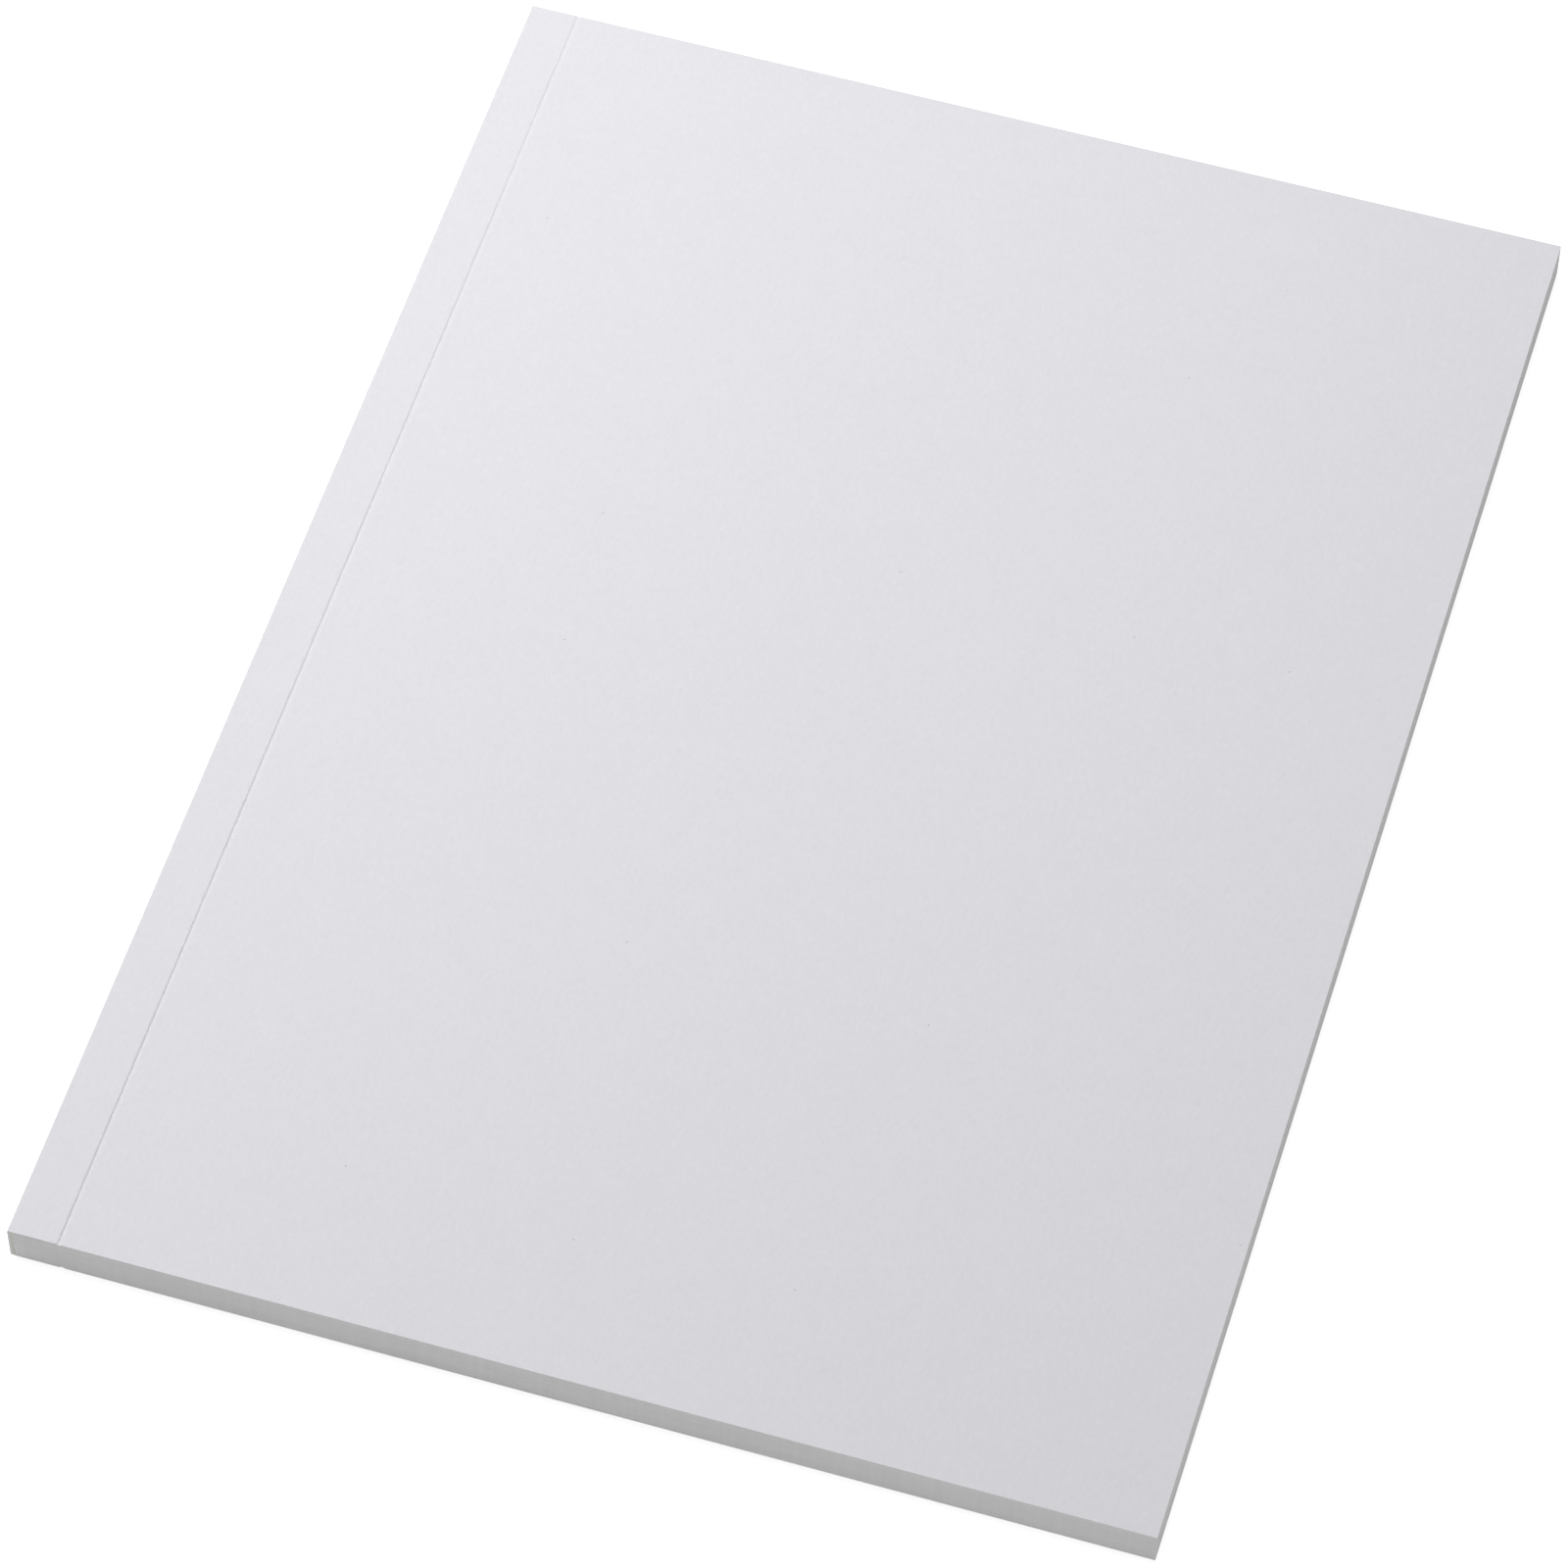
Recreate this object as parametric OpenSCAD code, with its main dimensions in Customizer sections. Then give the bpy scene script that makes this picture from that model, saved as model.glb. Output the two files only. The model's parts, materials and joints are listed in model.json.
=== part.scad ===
// Softcover notebook, perfect bound: a block of loose sheets held at the spine by glue,
// in one wraparound card cover. The cover is folded round the spine, glued down as far as
// a pressed crease on each side, and opens along those creases. Lies on its back cover.
// X runs from the spine to the fore edge, Y from the tail to the head, Z up.
// The origin is at the centre of the underside. Millimetres.

/* [Trimmed size] */
// Width, from the outside of the spine to the fore edge
trim_w = 148; // [100:1:216]
// Height, from the tail to the head
trim_h = 210; // [140:1:303]

/* [Page block] */
// Number of sheets in the block
sheet_count = 50; // [20:1:150]
// Thickness of one sheet
sheet_t = 0.1; // [0.07:0.01:0.16]

/* [Cover] */
// Thickness of the cover card
card_t = 0.3; // [0.25:0.01:0.5]
// Inside radius of the folds at the two corners of the spine
fold_r = 0.05; // [0.02:0.01:0.3]
// Outside radius of the same folds, where the press flattens them sharp
fold_outer_r = 0.25; // [0.1:0.05:0.5]
// Distance from the outside of the spine to the middle of each crease
crease_x = 6.6; // [6:0.1:12]
// Width of the pressed crease on the outside of the card
crease_w = 0.9; // [0.5:0.1:1.6]
// Depth of the pressed crease
crease_depth = 0.2; // [0.05:0.01:0.22]

/* [Binding glue] */
// Thickness of the glue between the backs of the sheets and the spine
spine_glue_t = 0.4; // [0.3:0.05:0.8]
// Thickness of the side glue, under the cover on both sides of the spine
side_glue_t = 0.05; // [0.03:0.01:0.15]
// Distance from the end of the side glue to the middle of the crease
glue_to_crease = 1.3; // [0.8:0.1:3]

/* [Hidden] */

$fn = 96;

// The sheets pressed flat, and the closed notebook
block_t = sheet_count * sheet_t;
book_t = block_t + 2 * card_t;

// The backs of the sheets, and the side glue that runs from there
sheet_back_x = card_t + spine_glue_t;
side_glue_w = crease_x - glue_to_crease - sheet_back_x;

// The round tool that presses a crease of that width and depth
crease_r = (pow(crease_w / 2, 2) + pow(crease_depth, 2)) / (2 * crease_depth);

// How far a cutting shape runs past what it cuts
cut_over = 1;

card_color = "#E7E6EB";
paper_color = "#EDECE9";
glue_color = "#D9D6BE";

// Stands a section, drawn with X across the notebook and Y through its thickness,
// in place from the tail to the head.
module run_to_head() {
    translate([-trim_w / 2, trim_h / 2, 0])
        rotate([90, 0, 0])
            linear_extrude(height = trim_h)
                children();
}

// Turns a section for the front of the notebook into the same one for the back.
module on_the_back() {
    translate([0, book_t])
        mirror([0, 1])
            children();
}

// A rectangle from the spine side at x to x_end, with its two corners at the spine round.
module spine_rounded(x, x_end, inset, r) {
    for (y = [inset + r, book_t - inset - r])
        translate([x + r, y])
            circle(r = r);
    translate([x, inset + r])
        square([2 * r, book_t - 2 * inset - 2 * r]);
    translate([x + r, inset])
        square([x_end - x - r, book_t - 2 * inset]);
}

// The round groove of the crease, at the front cover's outside.
module crease_groove() {
    translate([crease_x, book_t - crease_depth + crease_r])
        circle(r = crease_r);
}

// The side glue under the cover, seen end on at the front.
module side_glue_section() {
    translate([sheet_back_x, book_t - card_t - side_glue_t])
        square([side_glue_w, side_glue_t]);
}

// All the sheets as one solid: trimmed flush with the cover on three sides, and pressed
// a little thinner where the side glue lies.
module page_block() {
    color(paper_color)
        run_to_head()
            difference() {
                translate([sheet_back_x, card_t])
                    square([trim_w - sheet_back_x, block_t]);
                side_glue_section();
                on_the_back() side_glue_section();
            }
}

// Glue over the backs of the sheets, which fills the spine out to its round folds.
module spine_glue() {
    color(glue_color)
        run_to_head()
            intersection() {
                spine_rounded(card_t, trim_w, card_t, fold_r);
                translate([0, card_t])
                    square([sheet_back_x, block_t]);
            }
}

// A strip of glue that holds the cover to the first sheet.
module front_side_glue() {
    color(glue_color)
        run_to_head()
            side_glue_section();
}

// The same strip between the cover and the last sheet.
module back_side_glue() {
    color(glue_color)
        run_to_head()
            on_the_back()
                side_glue_section();
}

// The cover as far as its creases: the spine and the hinge strip on each side of it.
module cover_spine() {
    color(card_color)
        run_to_head()
            difference() {
                spine_rounded(0, crease_x, 0, fold_outer_r);
                spine_rounded(card_t, crease_x + cut_over, card_t, fold_r);
                crease_groove();
                on_the_back() crease_groove();
            }
}

// A cover panel from its crease to the fore edge, seen end on at the front.
module cover_panel_section() {
    difference() {
        translate([crease_x, book_t - card_t])
            square([trim_w - crease_x, card_t]);
        crease_groove();
    }
}

// The front of the cover, which opens along its crease.
module front_cover() {
    color(card_color)
        run_to_head()
            cover_panel_section();
}

// The back of the cover, which the notebook lies on.
module back_cover() {
    color(card_color)
        run_to_head()
            on_the_back()
                cover_panel_section();
}

page_block();
spine_glue();
front_side_glue();
back_side_glue();
cover_spine();
front_cover();
back_cover();
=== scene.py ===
import json
import math
import random

import bmesh
import bpy
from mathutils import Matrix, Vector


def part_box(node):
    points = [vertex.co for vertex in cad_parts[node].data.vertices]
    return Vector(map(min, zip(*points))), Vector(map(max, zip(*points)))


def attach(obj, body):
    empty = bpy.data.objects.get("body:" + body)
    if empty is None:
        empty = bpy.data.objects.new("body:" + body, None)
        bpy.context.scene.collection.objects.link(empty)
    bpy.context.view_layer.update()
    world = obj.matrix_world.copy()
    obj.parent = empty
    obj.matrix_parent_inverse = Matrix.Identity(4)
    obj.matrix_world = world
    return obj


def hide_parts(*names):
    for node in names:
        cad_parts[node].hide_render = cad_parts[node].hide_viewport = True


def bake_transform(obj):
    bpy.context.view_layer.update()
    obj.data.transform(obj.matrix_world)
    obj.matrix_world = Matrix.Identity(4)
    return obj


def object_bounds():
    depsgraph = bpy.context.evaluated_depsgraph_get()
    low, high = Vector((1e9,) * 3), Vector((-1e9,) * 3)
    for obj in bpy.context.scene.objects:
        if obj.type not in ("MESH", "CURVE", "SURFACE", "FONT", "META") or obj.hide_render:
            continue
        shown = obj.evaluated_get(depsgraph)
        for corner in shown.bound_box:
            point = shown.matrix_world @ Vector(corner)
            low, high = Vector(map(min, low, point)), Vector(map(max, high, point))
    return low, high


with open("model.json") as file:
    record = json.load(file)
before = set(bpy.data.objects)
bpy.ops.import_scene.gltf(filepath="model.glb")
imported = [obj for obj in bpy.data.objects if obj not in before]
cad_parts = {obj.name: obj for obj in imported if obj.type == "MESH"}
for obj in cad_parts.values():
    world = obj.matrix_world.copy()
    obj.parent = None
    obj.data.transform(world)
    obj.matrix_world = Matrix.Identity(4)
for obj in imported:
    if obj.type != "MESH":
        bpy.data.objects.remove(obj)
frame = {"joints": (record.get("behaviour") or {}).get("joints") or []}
cad_low, cad_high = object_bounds()

MM = 0.001

# The notebook's own sizes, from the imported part
SPINE_X, TAIL_Y, BACK_Z = cad_low
FORE_X, HEAD_Y, FRONT_Z = cad_high
CREASE_X = frame["joints"][0]["pos_m"][0]
BACK_PANEL_LOW, BACK_PANEL_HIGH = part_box("back_cover")
CARD_T = BACK_PANEL_HIGH.z - BACK_PANEL_LOW.z
SHEET_BACK_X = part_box("page_block")[0].x
GLUE_LOW, GLUE_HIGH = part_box("back_side_glue")
GLUE_END_X = GLUE_HIGH.x
SIDE_GLUE_T = GLUE_HIGH.z - GLUE_LOW.z

# The card's folds at the spine, which the press flattens sharp. The card that goes round
# the spine is drawn up to FOLD_END_X, and the two covers start there.
FOLD_INNER_R = 0.05 * MM
FOLD_OUTER_R = 0.25 * MM
FOLD_END_X = SPINE_X + CARD_T + 0.1 * MM

# The pressed crease: a steep wall on the spine side, and a longer slope up to the panel.
# It was pressed deeper towards the tail.
WALL_W = 0.28 * MM
SLOPE_W = 0.62 * MM
CREASE_DEPTH_TAIL = 0.23 * MM
CREASE_DEPTH_HEAD = 0.10 * MM
WALL_TOP_X = CREASE_X - WALL_W / 2
CREASE_FLOOR_X = CREASE_X + WALL_W / 2
SLOPE_TOP_X = CREASE_FLOOR_X + SLOPE_W

# The hinge strip lies on the side glue, and at the tail it is this much higher than the
# front panel
STRIP_RISE = 0.06 * MM

# The sheets. Their trimmed edges and their milled backs are uneven by the two scatters.
SHEET_COUNT = 50
SHEET_T = 0.093 * MM
TRIM_SCATTER = 0.012 * MM
MILLED_SCATTER = 0.06 * MM

# The glue ends this far inside the cut edges, and the side glue thins out over this width
GLUE_RECESS = 0.02 * MM
GLUE_TAPER_W = 0.3 * MM

# Strength of the even light on the notebook. The camera sees the world at 1, as white.
WORLD_LIGHT = 0.29

# The opened back cover reaches 0.55 mm below the closed one, so the floor lies lower still
FLOOR_DROP = 0.6 * MM


def srgb(hex_colour):
    """A linear colour with alpha from an sRGB hex value."""
    channels = [int(hex_colour[i:i + 2], 16) / 255 for i in (1, 3, 5)]
    return [c / 12.92 if c <= 0.04045 else ((c + 0.055) / 1.055) ** 2.4 for c in channels] + [1]


def ease(t):
    """0 to 1 with a soft start and a soft end."""
    t = min(1, max(0, t))
    return t * t * (3 - 2 * t)


def spaced(start, end, count):
    """Evenly spaced values from start to end, both included."""
    return [start + (end - start) * i / (count - 1) for i in range(count)]


# Shape of the card and the block

def towards_head(y):
    """0 at the tail and 1 at the head."""
    return (y - TAIL_Y) / (HEAD_Y - TAIL_Y)


def front_drop(x, y):
    """How far the front cover lies below the top of its hinge strip, apart from the crease."""
    return STRIP_RISE * (1 - towards_head(y)) * ease((x - WALL_TOP_X) / WALL_W)


def crease_depth(x, y):
    """Depth of the pressed crease below the face of the card."""
    deepest = CREASE_DEPTH_TAIL + (CREASE_DEPTH_HEAD - CREASE_DEPTH_TAIL) * towards_head(y)
    if x < CREASE_FLOOR_X:
        return deepest * ease((x - WALL_TOP_X) / WALL_W)
    return deepest * (1 - ease((x - CREASE_FLOOR_X) / SLOPE_W))


def front_inside(x, y):
    """Height of the inside of the front cover."""
    return FRONT_Z - CARD_T - front_drop(x, y)


def back_inside(x, y):
    """Height of the inside of the back cover, which lies flat."""
    return BACK_Z + CARD_T


def side_glue(x):
    """Thickness of the side glue, which thins out at its end."""
    return SIDE_GLUE_T * ease((GLUE_END_X - x) / GLUE_TAPER_W)


def card_rows():
    """Places along the spine at which the card is drawn."""
    return spaced(TAIL_Y, HEAD_Y, 22)


def glue_rows():
    """Places along the spine at which the glue is drawn."""
    return spaced(TAIL_Y + GLUE_RECESS, HEAD_Y - GLUE_RECESS, 22)


def cover_columns():
    """Places across a cover panel and its hinge strip, close together at the crease."""
    strip = spaced(FOLD_END_X, WALL_TOP_X - 0.1 * MM, 9)
    bend = spaced(WALL_TOP_X, SLOPE_TOP_X, 41)
    panel = spaced(SLOPE_TOP_X + 0.3 * MM, FORE_X, 21)
    return strip + bend + panel


def close_between(mesh, one, other):
    """Adds the faces on two grids of points, as slot 0, and the cut edges that join the
    grids all round, as slot 1."""
    last_row, last_column = len(one) - 1, len(one[0]) - 1
    for grid in (one, other):
        for r in range(last_row):
            for c in range(last_column):
                mesh.faces.new((grid[r][c], grid[r][c + 1], grid[r + 1][c + 1], grid[r + 1][c]))
    along = [(r, c, r + 1, c) for r in range(last_row) for c in (0, last_column)]
    across = [(r, c, r, c + 1) for c in range(last_column) for r in (0, last_row)]
    for r, c, next_r, next_c in along + across:
        cut = mesh.faces.new((one[r][c], one[next_r][next_c], other[next_r][next_c], other[r][c]))
        cut.material_index = 1


def solid_along_y(name, outer, inner, rows):
    """A closed solid between two paths seen end on. Each is a function that gives the
    path's (x, z) points at a row."""
    mesh = bmesh.new()
    out_grid = [[mesh.verts.new((x, y, z)) for x, z in outer(y)] for y in rows]
    in_grid = [[mesh.verts.new((x, y, z)) for x, z in inner(y)] for y in rows]
    close_between(mesh, out_grid, in_grid)
    return finished(name, mesh)


def finished(name, mesh):
    """Turns a bmesh into an object with smooth faces and sharp cut edges."""
    bmesh.ops.recalc_face_normals(mesh, faces=mesh.faces)
    data = bpy.data.meshes.new(name)
    mesh.to_mesh(data)
    mesh.free()
    data.shade_smooth()
    data.set_sharp_from_angle(angle=math.radians(40))
    piece = bpy.data.objects.new(name, data)
    bpy.context.scene.collection.objects.link(piece)
    return piece


def front_card():
    """The front cover with its hinge strip. The crease is pressed into its outside."""
    columns = cover_columns()
    return solid_along_y(
        "front_card",
        lambda y: [(x, front_inside(x, y) + CARD_T - crease_depth(x, y)) for x in columns],
        lambda y: [(x, front_inside(x, y)) for x in columns],
        card_rows())


def back_card():
    """The back cover with its hinge strip, creased in the same way."""
    columns = cover_columns()
    return solid_along_y(
        "back_card",
        lambda y: [(x, BACK_Z + crease_depth(x, y)) for x in columns],
        lambda y: [(x, back_inside(x, y)) for x in columns],
        card_rows())


def round_the_spine(inset, radius):
    """Path of one face of the card, from the end of one fold to the end of the other. The
    inset is how deep the face lies in the card."""
    middle_x, middle_z = SPINE_X + inset + radius, FRONT_Z - inset - radius
    turn = [i / 10 * math.pi / 2 for i in range(11)]
    top = [(FOLD_END_X, FRONT_Z - inset)]
    top += [(middle_x - radius * math.sin(a), middle_z + radius * math.cos(a)) for a in turn]
    low = [(x, BACK_Z + FRONT_Z - z) for x, z in reversed(top)]
    flat = [(SPINE_X + inset, z) for z in spaced(top[-1][1], low[0][1], 14)[1:-1]]
    return top + flat + low


def spine_card():
    """The card round the spine, with both of its folds."""
    outer = round_the_spine(0, FOLD_OUTER_R)
    inner = round_the_spine(CARD_T, FOLD_INNER_R)
    return solid_along_y("spine_card", lambda y: outer, lambda y: inner, card_rows())


def spine_glue_film():
    """The glue between the card and the milled backs of the sheets. It fills the folds."""
    outer = round_the_spine(CARD_T, FOLD_INNER_R)
    heights = spaced(FRONT_Z - CARD_T, BACK_Z + CARD_T, len(outer))
    inner = [(SHEET_BACK_X + MILLED_SCATTER, z) for z in heights]
    return solid_along_y("spine_glue_film", lambda y: outer, lambda y: inner, glue_rows())


def side_glue_strip(name, cover_inside, into_block):
    """Side glue on the inside of a cover, thinning out before the crease. It is drawn up
    to 0.02 mm before its end, where it isn't yet thinned out to nothing."""
    columns = spaced(SHEET_BACK_X + MILLED_SCATTER, GLUE_END_X - 0.02 * MM, 12)
    return solid_along_y(
        name,
        lambda y: [(x, cover_inside(x, y)) for x in columns],
        lambda y: [(x, cover_inside(x, y) + into_block * side_glue(x)) for x in columns],
        glue_rows())


def sheets():
    """Fifty trimmed sheets. Air lies between them unevenly, least near the glue, and most
    between the outermost sheets and the stiffer cover."""
    rng = random.Random(50)
    in_glue = spaced(SHEET_BACK_X, GLUE_END_X + 0.1 * MM, 8)
    at_crease = spaced(WALL_TOP_X, CREASE_FLOOR_X, 4)
    columns = in_glue + at_crease + spaced(CREASE_FLOOR_X + 1.5 * MM, FORE_X, 15)
    rows = spaced(TAIL_Y, HEAD_Y, 18)
    # Each layer of air is uneven by three waves, each 40 to 120 mm long
    waves = [[(rng.uniform(0.04, 0.12), rng.uniform(0, 2 * math.pi), rng.uniform(0, 2 * math.pi))
              for _ in range(3)] for _ in range(SHEET_COUNT + 1)]

    def air(layer, x, y):
        """Share of the spare height that a layer of air takes, before all are made to fit."""
        total = sum(math.sin(2 * math.pi * x / length + a) * math.sin(2 * math.pi * y / length + b)
                    for length, a, b in waves[layer])
        under_cover = 3 if layer in (0, SHEET_COUNT) else 1
        return under_cover * (1 + 0.3 * total)

    mesh = bmesh.new()
    stack = {}
    for x in columns:
        for y in rows:
            low = BACK_Z + CARD_T + side_glue(x)
            high = front_inside(x, y) - side_glue(x)
            spare = high - low - SHEET_COUNT * SHEET_T
            gaps = [air(layer, x, y) for layer in range(SHEET_COUNT + 1)]
            unit = spare / sum(gaps)
            z = low
            for layer in range(SHEET_COUNT):
                z += gaps[layer] * unit
                stack[x, y, layer] = z
                z += SHEET_T
    for layer in range(SHEET_COUNT):
        back = rng.uniform(-MILLED_SCATTER, MILLED_SCATTER)
        fore, tail, head = [rng.uniform(0, TRIM_SCATTER) for _ in range(3)]
        grids = []
        for lift in (0, SHEET_T):
            grid = []
            for y in rows:
                place_y = min(HEAD_Y - head, max(TAIL_Y + tail, y))
                line = []
                for x in columns:
                    place_x = x + back if x == columns[0] else min(FORE_X - fore, x)
                    line.append(mesh.verts.new((place_x, place_y, stack[x, y, layer] + lift)))
                grid.append(line)
            grids.append(grid)
        close_between(mesh, *grids)
    return finished("page_sheets", mesh)


# Materials

def add_node(tree, kind, inputs=None, **settings):
    """Adds a node. Each input is a value, or the output of another node."""
    made = tree.nodes.new(kind)
    for name, value in settings.items():
        setattr(made, name, value)
    for socket, value in (inputs or {}).items():
        if isinstance(value, bpy.types.NodeSocket):
            tree.links.new(value, made.inputs[socket])
        else:
            made.inputs[socket].default_value = value
    return made


def new_material(name):
    material = bpy.data.materials.new(name)
    material.use_nodes = True
    material.node_tree.nodes.clear()
    return material, material.node_tree


def mixed(tree, factor, first, second):
    """The colour between two colours. On the Mix node, sockets 6 and 7 are the colours, 2
    and 3 are the plain values, and output 2 is the mixed colour."""
    return add_node(tree, "ShaderNodeMix", {
        "Factor": factor, 6: first, 7: second}, data_type="RGBA").outputs[2]


def uncoated_card(name, light, shade, speck):
    """Uncoated wood-free card, calendered: matt and even, with faint clouds a few
    millimetres across, the relief of its felted fibres and rare specks."""
    material, tree = new_material(name)
    place = add_node(tree, "ShaderNodeTexCoord").outputs["Object"]
    cloud = add_node(tree, "ShaderNodeTexNoise", {
        "Vector": place, "Scale": 1 / (4 * MM), "Detail": 2, "Roughness": 0.5})
    # Real fibres are about 0.02 mm wide. They are drawn 0.5 mm wide, so that they show, and
    # twice as long along the spine.
    along_spine = add_node(tree, "ShaderNodeMapping", {"Vector": place, "Scale": (1, 0.5, 1)})
    fibre = add_node(tree, "ShaderNodeTexNoise", {
        "Vector": along_spine.outputs[0], "Scale": 1 / (0.5 * MM), "Detail": 1,
        "Roughness": 0.5, "Distortion": 0.8})
    blend = add_node(tree, "ShaderNodeMix", {
        "Factor": 0.75, 2: cloud.outputs["Fac"], 3: fibre.outputs["Fac"]}, data_type="FLOAT")
    spread = add_node(tree, "ShaderNodeMapRange", {
        "Value": blend.outputs[0], "From Min": 0.28, "From Max": 0.72})
    plain = mixed(tree, spread.outputs[0], srgb(shade), srgb(light))
    # About one cell in five of a 22 mm grid holds a speck, about 0.25 mm across
    cell = add_node(tree, "ShaderNodeTexVoronoi", {
        "Vector": place, "Scale": 1 / (22 * MM)}, voronoi_dimensions="2D")
    near = add_node(tree, "ShaderNodeMapRange", {
        "Value": cell.outputs["Distance"], "From Min": 0.0075, "From Max": 0.0035})
    chosen = add_node(tree, "ShaderNodeMath", {
        0: cell.outputs["Color"], 1: 0.3}, operation="LESS_THAN")
    dot = add_node(tree, "ShaderNodeMath", {
        0: near.outputs[0], 1: chosen.outputs[0]}, operation="MULTIPLY")
    colour = mixed(tree, dot.outputs[0], plain, srgb(speck))
    rough = add_node(tree, "ShaderNodeMapRange", {
        "Value": fibre.outputs["Fac"], "To Min": 0.78, "To Max": 0.92})
    felt = add_node(tree, "ShaderNodeBump", {
        "Height": fibre.outputs["Fac"], "Strength": 0.15, "Distance": 0.03 * MM})
    shader = add_node(tree, "ShaderNodeBsdfPrincipled", {
        "Base Color": colour, "Roughness": rough.outputs[0],
        "Normal": felt.outputs[0], "IOR": 1.5, "Specular IOR Level": 0.3})
    add_node(tree, "ShaderNodeOutputMaterial", {"Surface": shader.outputs[0]})
    return material


def cut_edge(name, light, shade, layer_t):
    """Paper or card cut by a guillotine: fuzzy layers along the edge, and the faint
    upright marks that nicks in the blade leave."""
    material, tree = new_material(name)
    place = add_node(tree, "ShaderNodeTexCoord").outputs["Object"]
    # Each streak is one layer thick and 9 mm long
    narrowing = layer_t / (9 * MM)
    flat = add_node(tree, "ShaderNodeMapping", {
        "Vector": place, "Scale": (narrowing, narrowing, 1)})
    layers = add_node(tree, "ShaderNodeTexNoise", {
        "Vector": flat.outputs[0], "Scale": 1 / layer_t, "Detail": 3, "Roughness": 0.6})
    # Real marks of nicks are finer. They are drawn 0.8 mm wide, so that they show.
    upright = add_node(tree, "ShaderNodeMapping", {"Vector": place, "Scale": (1, 1, 0.04)})
    nicks = add_node(tree, "ShaderNodeTexNoise", {
        "Vector": upright.outputs[0], "Scale": 1 / (0.8 * MM), "Detail": 2})
    blend = add_node(tree, "ShaderNodeMix", {
        "Factor": 0.35, 2: layers.outputs["Fac"], 3: nicks.outputs["Fac"]}, data_type="FLOAT")
    spread = add_node(tree, "ShaderNodeMapRange", {
        "Value": blend.outputs[0], "From Min": 0.33, "From Max": 0.67})
    colour = mixed(tree, spread.outputs[0], srgb(shade), srgb(light))
    fuzz = add_node(tree, "ShaderNodeBump", {
        "Height": blend.outputs[0], "Strength": 0.3, "Distance": 0.02 * MM})
    shader = add_node(tree, "ShaderNodeBsdfPrincipled", {
        "Base Color": colour, "Roughness": 0.95, "Normal": fuzz.outputs[0],
        "IOR": 1.5, "Specular IOR Level": 0.2})
    add_node(tree, "ShaderNodeOutputMaterial", {"Surface": shader.outputs[0]})
    return material


def offset_paper(name, light, shade):
    """Uncoated offset paper, 80 g/m2: matt, lighter and more neutral than the card, and
    faintly cloudy."""
    material, tree = new_material(name)
    place = add_node(tree, "ShaderNodeTexCoord").outputs["Object"]
    cloud = add_node(tree, "ShaderNodeTexNoise", {
        "Vector": place, "Scale": 1 / (2 * MM), "Detail": 3, "Roughness": 0.6})
    spread = add_node(tree, "ShaderNodeMapRange", {
        "Value": cloud.outputs["Fac"], "From Min": 0.2, "From Max": 0.8})
    colour = mixed(tree, spread.outputs[0], srgb(shade), srgb(light))
    # The fibres are drawn wider than they are, as on the card
    tooth = add_node(tree, "ShaderNodeTexNoise", {
        "Vector": place, "Scale": 1 / (0.3 * MM), "Detail": 3})
    felt = add_node(tree, "ShaderNodeBump", {
        "Height": tooth.outputs["Fac"], "Strength": 0.2, "Distance": 0.01 * MM})
    shader = add_node(tree, "ShaderNodeBsdfPrincipled", {
        "Base Color": colour, "Roughness": 0.85, "Normal": felt.outputs[0],
        "IOR": 1.5, "Specular IOR Level": 0.3})
    add_node(tree, "ShaderNodeOutputMaterial", {"Surface": shader.outputs[0]})
    return material


def hot_melt(name, light, shade):
    """EVA hot-melt binding glue, applied molten and cut when set: waxy, pale olive and
    a little uneven."""
    material, tree = new_material(name)
    place = add_node(tree, "ShaderNodeTexCoord").outputs["Object"]
    mottle = add_node(tree, "ShaderNodeTexNoise", {
        "Vector": place, "Scale": 1 / (0.6 * MM), "Detail": 4, "Roughness": 0.6})
    colour = mixed(tree, mottle.outputs["Fac"], srgb(shade), srgb(light))
    uneven = add_node(tree, "ShaderNodeBump", {
        "Height": mottle.outputs["Fac"], "Strength": 0.3, "Distance": 0.03 * MM})
    shader = add_node(tree, "ShaderNodeBsdfPrincipled", {
        "Base Color": colour, "Roughness": 0.5, "Normal": uneven.outputs[0],
        "IOR": 1.48, "Specular IOR Level": 0.35})
    add_node(tree, "ShaderNodeOutputMaterial", {"Surface": shader.outputs[0]})
    return material


# Studio

def seen_directly(tree):
    """1 for what the camera sees, straight or in a gloss or through glass, and 0 for light."""
    ray = add_node(tree, "ShaderNodeLightPath").outputs
    either = add_node(tree, "ShaderNodeMath", {
        0: ray["Is Camera Ray"], 1: ray["Is Glossy Ray"]}, operation="MAXIMUM")
    return add_node(tree, "ShaderNodeMath", {
        0: either.outputs[0], 1: ray["Is Transmission Ray"]}, operation="MAXIMUM").outputs[0]


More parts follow.
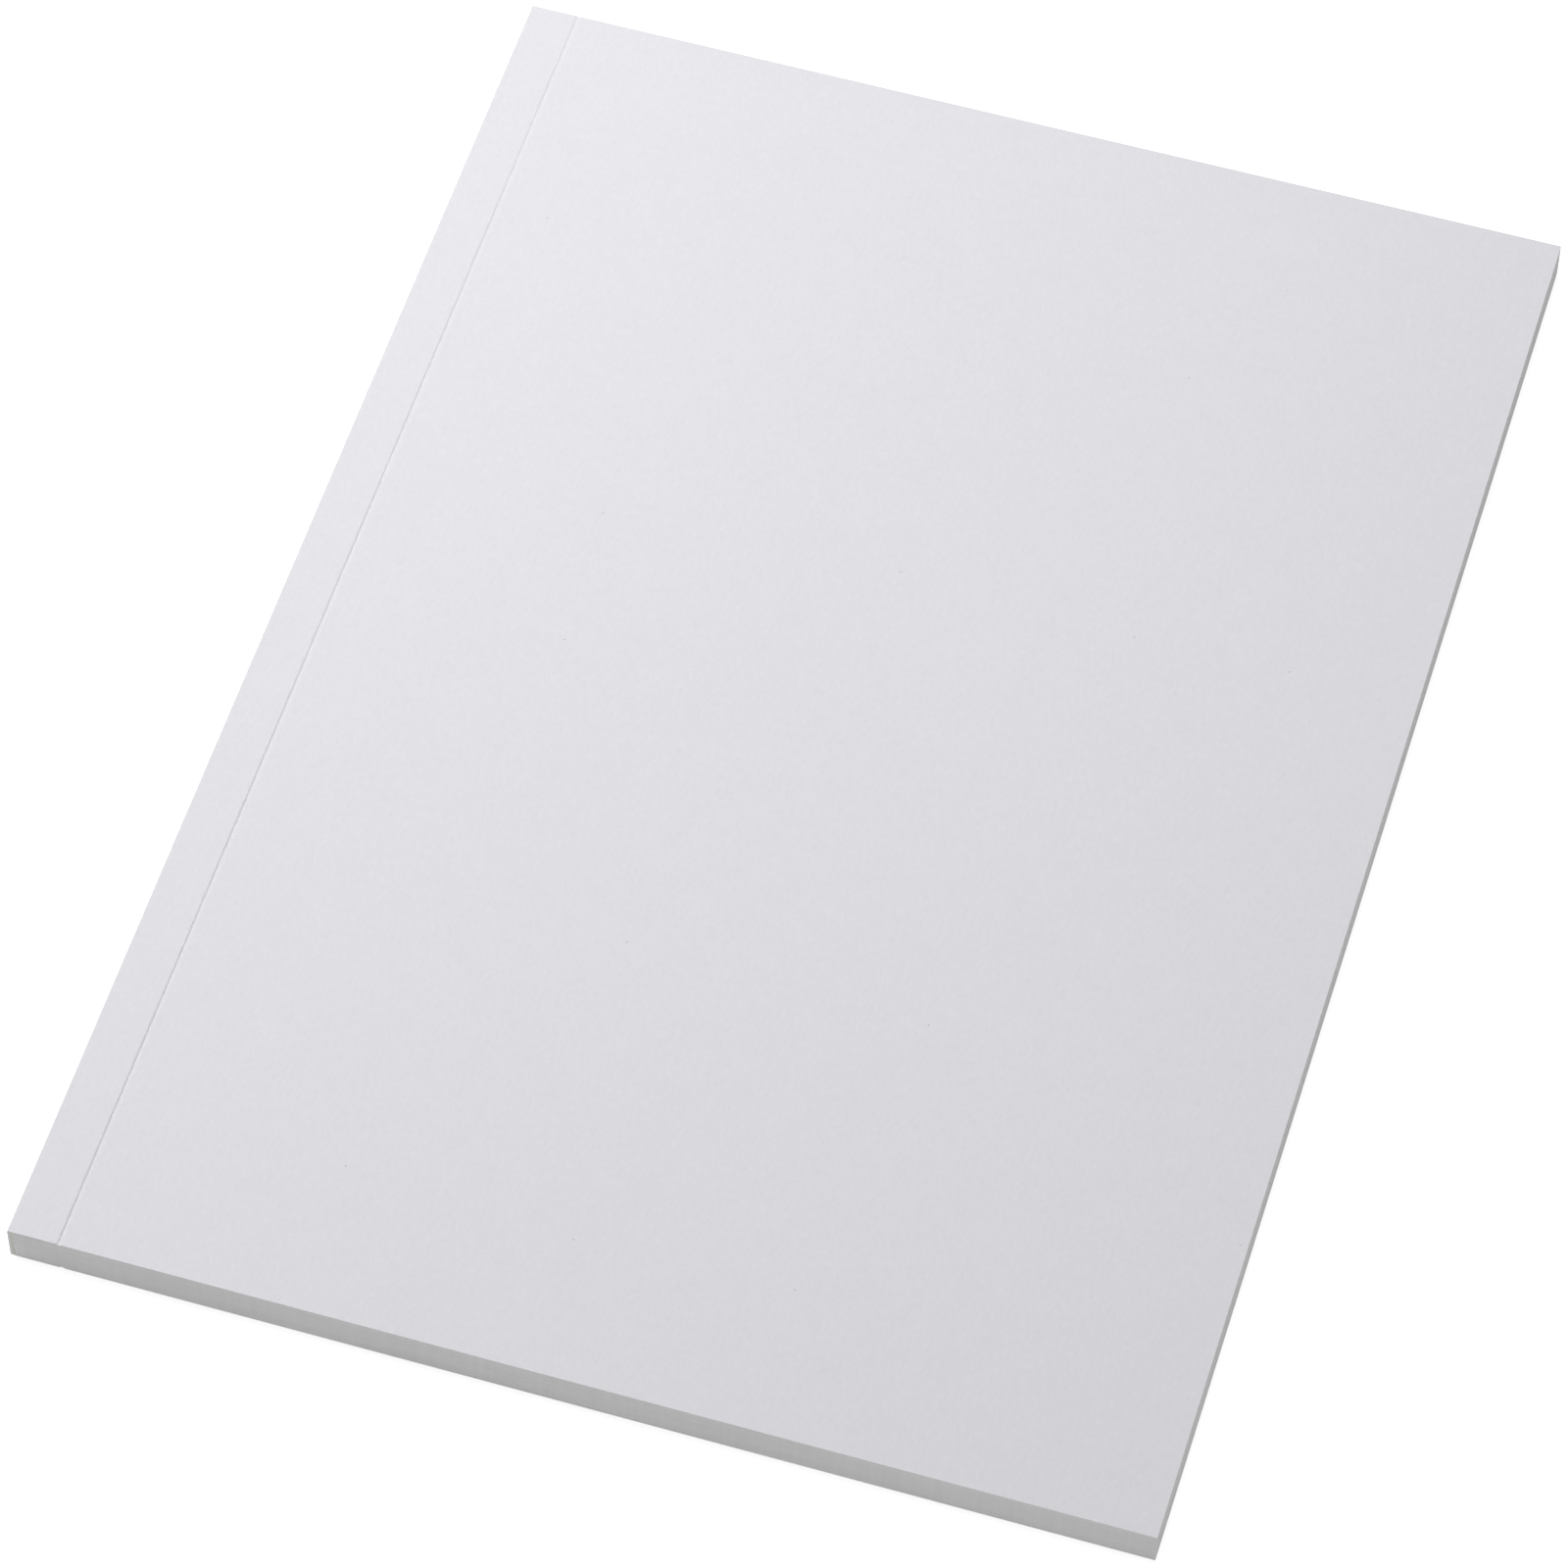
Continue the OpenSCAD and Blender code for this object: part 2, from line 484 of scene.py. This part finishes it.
def white_floor():
    """Pale floor that shows the notebook's shadow. From 0.5 m out it glows at 1 to the
    camera, which is plain white."""
    bpy.ops.mesh.primitive_plane_add(size=8, location=(0, 0, BACK_Z - FLOOR_DROP))
    floor = bpy.context.object
    floor.name = "floor"
    material, tree = new_material("pale_floor")
    place = add_node(tree, "ShaderNodeTexCoord").outputs["Object"]
    away = add_node(tree, "ShaderNodeVectorMath", {0: place}, operation="LENGTH")
    glow = add_node(tree, "ShaderNodeMapRange", {
        "Value": away.outputs["Value"], "From Min": 0.15, "From Max": 0.5,
        "To Min": 0.82, "To Max": 1.0})
    shown = add_node(tree, "ShaderNodeMath", {
        0: glow.outputs[0], 1: seen_directly(tree)}, operation="MULTIPLY")
    pale = add_node(tree, "ShaderNodeBsdfDiffuse", {"Color": srgb("#BFBFBF")})
    white = add_node(tree, "ShaderNodeEmission", {"Strength": shown.outputs[0]})
    both = add_node(tree, "ShaderNodeAddShader", {0: pale.outputs[0], 1: white.outputs[0]})
    add_node(tree, "ShaderNodeOutputMaterial", {"Surface": both.outputs[0]})
    floor.data.materials.append(material)


def studio_world():
    """Even light from all round, which the camera sees as white."""
    world = bpy.data.worlds.new("studio")
    world.use_nodes = True
    tree = world.node_tree
    tree.nodes.clear()
    strength = add_node(tree, "ShaderNodeMapRange", {
        "Value": seen_directly(tree), "To Min": WORLD_LIGHT, "To Max": 1.0})
    sky = add_node(tree, "ShaderNodeBackground", {
        "Color": srgb("#FFFFFF"), "Strength": strength.outputs[0]})
    add_node(tree, "ShaderNodeOutputWorld", {"Surface": sky.outputs[0]})
    bpy.context.scene.world = world


def soft_lamp(name, place, size, power):
    """A square soft box that faces the notebook."""
    light = bpy.data.lights.new(name, "AREA")
    light.size = size
    light.energy = power
    lamp = bpy.data.objects.new(name, light)
    lamp.location = place
    lamp.rotation_euler = (-lamp.location).to_track_quat("-Z", "Y").to_euler()
    bpy.context.scene.collection.objects.link(lamp)


def camera():
    """A long lens above the tail end, turned a little to the left. It was fitted to the
    cover's four corners and its crease in the photo."""
    lens = bpy.data.cameras.new("camera")
    lens.sensor_width = 36
    lens.lens = 165.17
    eye = bpy.data.objects.new("camera", lens)
    eye.location = (0.15213, -0.52331, 0.76976)
    eye.rotation_euler = [math.radians(a) for a in (34.9407, -0.1573, 16.9449)]
    bpy.context.scene.collection.objects.link(eye)
    bpy.context.scene.camera = eye


camera()
studio_world()
white_floor()
# The key light stands high on the spine's side, and a weaker one stands low and far off the
# corner of the tail and the fore edge
soft_lamp("key_soft_box", (-0.30, 0.18, 0.55), 0.30, 2.82)
soft_lamp("fill_soft_box", (1.60, -1.60, 0.50), 1.00, 16.0)

# Dressing the part. The streaks on the cut sheets are drawn 0.25 mm thick, so that they
# show, and a real sheet is 0.1 mm thick.
card = uncoated_card("uncoated_white_card", "#ECEBEF", "#E7E6EB", "#CDCCCF")
card_cut = cut_edge("guillotined_card", "#F0F0F1", "#E1E1E2", 0.1 * MM)
paper = offset_paper("offset_paper", "#EFEFF0", "#ECECED")
paper_cut = cut_edge("guillotined_sheets", "#EEEEEE", "#E5E5E5", 0.25 * MM)
glue = hot_melt("hot_melt_glue", "#DADBD2", "#CCCDC4")

for piece, node, body, face_z in ((front_card(), "front_cover", "front", FRONT_Z),
                                  (back_card(), "back_cover", "back", BACK_Z)):
    piece.data.materials.append(card)
    piece.data.materials.append(card_cut)
    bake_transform(piece)
    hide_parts(node)

block_pieces = (
    (spine_card(), "cover_spine", "cover_card", (card, card_cut)),
    (sheets(), "page_block", "page_paper", (paper, paper_cut)),
    (spine_glue_film(), "spine_glue", "binding_glue", (glue, glue)),
    (side_glue_strip("front_glue_strip", front_inside, -1), "front_side_glue", "binding_glue",
     (glue, glue)),
    (side_glue_strip("back_glue_strip", back_inside, 1), "back_side_glue", "binding_glue",
     (glue, glue)),
)
for piece, node, slot, materials in block_pieces:
    for material in materials:
        piece.data.materials.append(material)
    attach(piece, "block")
    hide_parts(node)

bpy.context.scene.view_settings.view_transform = "Standard"
